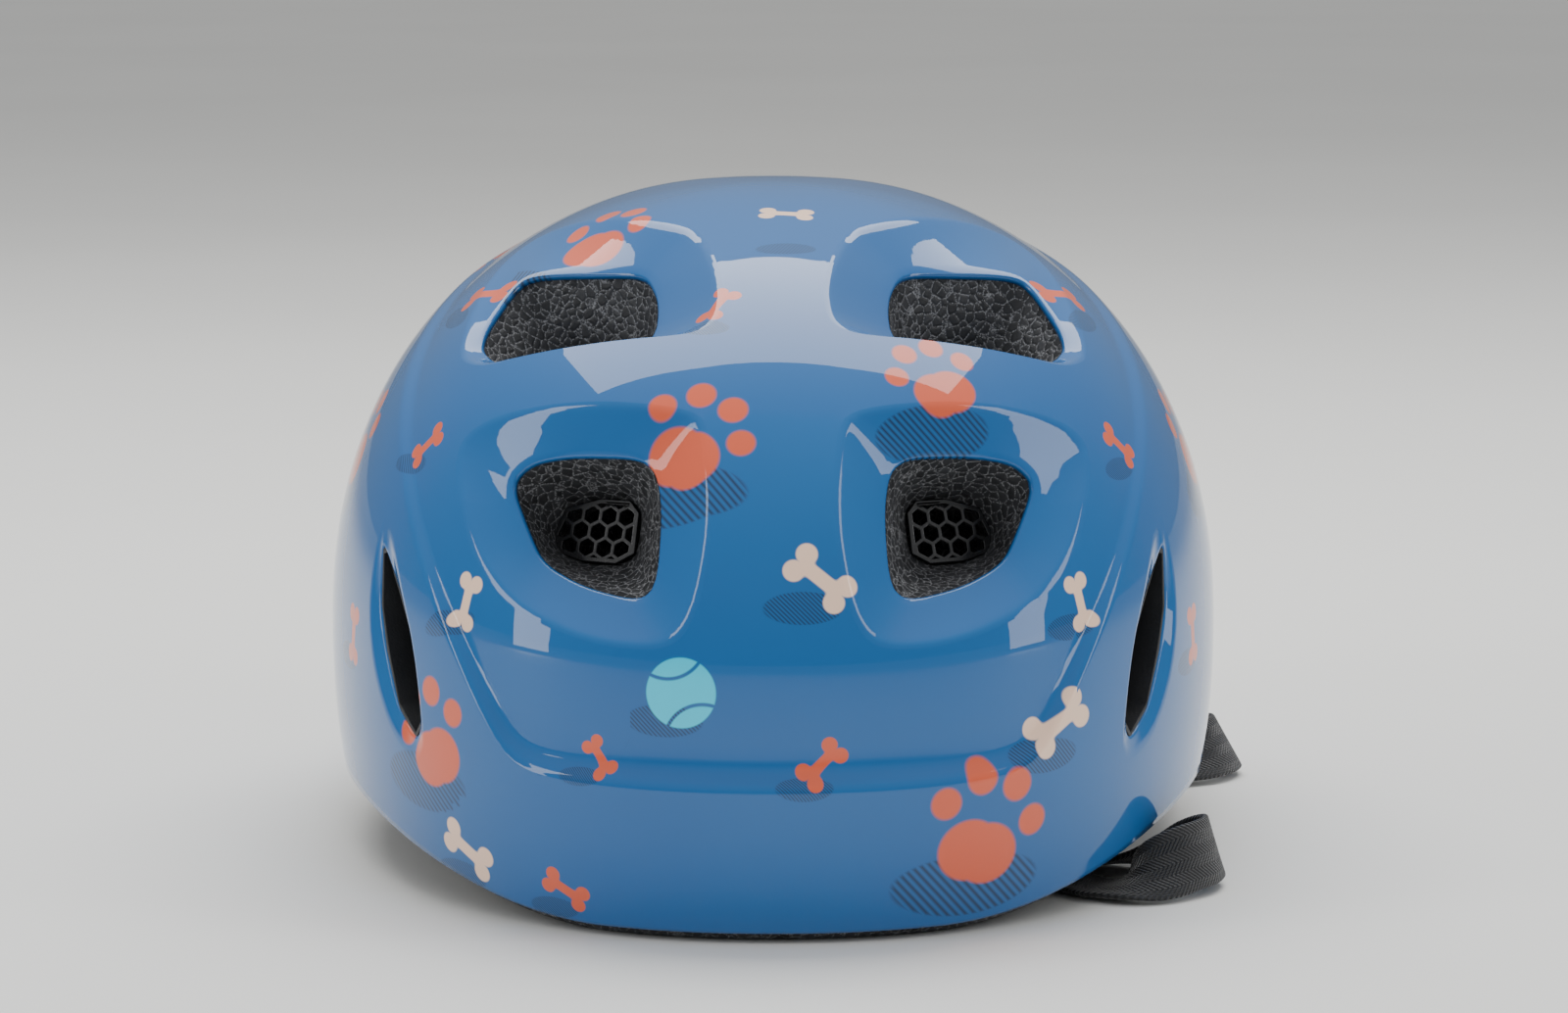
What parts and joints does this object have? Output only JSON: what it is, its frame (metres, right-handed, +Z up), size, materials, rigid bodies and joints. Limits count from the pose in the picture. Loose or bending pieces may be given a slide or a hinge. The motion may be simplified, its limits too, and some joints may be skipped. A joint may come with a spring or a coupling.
{
  "type": "cycling helmet",
  "caption": "Child's in-moulded cycling helmet: vented thin shell on a foam liner, dial-tightened fit ring, pads, webbing straps and an open side-release buckle.",
  "frame": {"origin": "the middle of the head opening, on the surface that the lower rim stands on", "axes": "+Z up, the front faces -Y, +X is the side where the webbing shows under the rim"},
  "size_m": [0.2193, 0.2553, 0.153],
  "materials": {
    "shell_blue": "gloss",
    "foam_black": "fine beaded",
    "plastic_black": "satin",
    "band_grey": "satin",
    "pad_fabric": "brushed knit",
    "webbing_black": "woven",
    "net_black": "satin"
  },
  "bodies": {
    "helmet": {"outer_shell": "shell_blue", "eps_liner": "foam_black", "net_left": "net_black", "net_right": "net_black", "slot_insert_left": "plastic_black", "slot_insert_right": "plastic_black", "brow_pad": "pad_fabric", "crown_pad": "pad_fabric", "crown_pad_left": "pad_fabric", "crown_pad_right": "pad_fabric", "side_pad_left": "pad_fabric", "side_pad_right": "pad_fabric", "hook_tabs": "pad_fabric", "ring_band": "band_grey", "ring_clips": "plastic_black", "belt_guide_left": "plastic_black", "belt_guide_right": "plastic_black", "cradle_rail": "plastic_black", "anchor_front_left": "plastic_black", "anchor_front_right": "plastic_black", "anchor_rear_left": "plastic_black", "anchor_rear_right": "plastic_black", "strap_front_left": "webbing_black", "strap_front_right": "webbing_black", "strap_rear_left": "webbing_black", "strap_rear_right": "webbing_black", "divider_left": "plastic_black", "divider_right": "plastic_black", "chin_strap_left": "webbing_black", "chin_strap_right": "webbing_black", "buckle_male": "plastic_black", "buckle_female": "plastic_black", "chin_pad": "pad_fabric"},
    "cradle": {"cradle_shell": "plastic_black", "cradle_cover": "band_grey", "cradle_pad": "pad_fabric"},
    "dial": {"dial_knob": "plastic_black", "dial_pinion": "band_grey"},
    "belt_l": {"belt_left": "band_grey"},
    "belt_r": {"belt_right": "band_grey"},
    "cam_l": {"cam_left": "band_grey"},
    "cam_r": {"cam_right": "band_grey"},
    "prong_o": {"prong_outer": "plastic_black"},
    "prong_i": {"prong_inner": "plastic_black"},
    "keeper": {"strap_keeper": "plastic_black"}
  },
  "joints": [
    {"name": "cradle_height", "type": "slide", "parent": "helmet", "child": "cradle", "axis": [0, 0, 1], "range_m": [0, 0.007]},
    {"name": "dial_turn", "type": "hinge", "parent": "cradle", "child": "dial", "pos_m": [0, 0.09, 0.015], "axis": [0, 1, 0], "range_deg": [0, 270]},
    {"name": "belt_left_turn", "type": "hinge", "parent": "cradle", "child": "belt_l", "pos_m": [0, 0.01398, 0.015], "axis": [0, 0, -1], "range_deg": [0, 18.3]},
    {"name": "belt_right_turn", "type": "hinge", "parent": "cradle", "child": "belt_r", "pos_m": [0, 0.01398, 0.015], "axis": [0, 0, 1], "range_deg": [0, 18.3]},
    {"name": "cam_left_lift", "type": "hinge", "parent": "helmet", "child": "cam_l", "pos_m": [-0.045, -0.0131, 0.0038], "axis": [1, 0, 0], "range_deg": [0, 70]},
    {"name": "cam_right_lift", "type": "hinge", "parent": "helmet", "child": "cam_r", "pos_m": [0.045, -0.0131, 0.0038], "axis": [1, 0, 0], "range_deg": [0, 70]},
    {"name": "prong_outer_squeeze", "type": "hinge", "parent": "helmet", "child": "prong_o", "pos_m": [-0.0224, -0.0633, 0.0043], "axis": [0, 0, 1], "range_deg": [0, 6], "stiffness_Nm_per_rad": 0.05},
    {"name": "prong_inner_squeeze", "type": "hinge", "parent": "helmet", "child": "prong_i", "pos_m": [-0.0056, -0.0633, 0.0043], "axis": [0, 0, -1], "range_deg": [0, 6], "stiffness_Nm_per_rad": 0.05},
    {"name": "keeper_slide", "type": "slide", "parent": "helmet", "child": "keeper", "axis": [0, 1, 0], "range_m": [-0.004, 0.002]}
  ],
  "couplings": [
    {"joint": "belt_left_turn", "follows": "dial_turn", "ratio": 0.067583},
    {"joint": "belt_right_turn", "follows": "dial_turn", "ratio": 0.067583}
  ]
}
